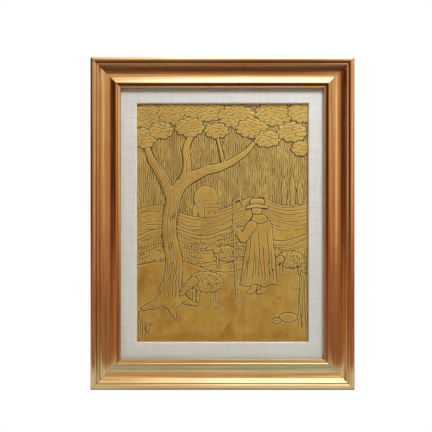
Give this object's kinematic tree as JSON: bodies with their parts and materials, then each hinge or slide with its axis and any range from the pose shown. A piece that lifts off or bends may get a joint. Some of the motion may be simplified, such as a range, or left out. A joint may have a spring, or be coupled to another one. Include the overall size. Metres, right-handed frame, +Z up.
{
  "type": "framed relief panel",
  "caption": "Wall-hung low-relief panel with a gold finish, behind glass in a linen-covered liner and a mitred gilt scoop moulding.",
  "frame": {"origin": "middle of the top rail's back face, where the frame lies against the wall", "axes": "+Z up the picture, +X to the right seen from the front, front towards -Y, back faces +Y"},
  "size_m": [0.442, 0.033, 0.557],
  "materials": {
    "gilt_moulding": "gilt over a reddish ground, satin, toned along the hollows",
    "glass": "clear, polished",
    "linen": "natural linen in plain weave, stretched over a flat liner",
    "cast_gold": "cast resin with an antiqued gold finish, lines toned dark",
    "backing": "plain hardboard"
  },
  "bodies": {
    "root": {"frame_rail_top": "gilt_moulding", "frame_rail_bottom": "gilt_moulding", "frame_rail_left": "gilt_moulding", "frame_rail_right": "gilt_moulding", "glass_pane": "glass", "linen_liner": "linen", "relief_panel": "cast_gold", "backing_board": "backing"}
  },
  "joints": []
}
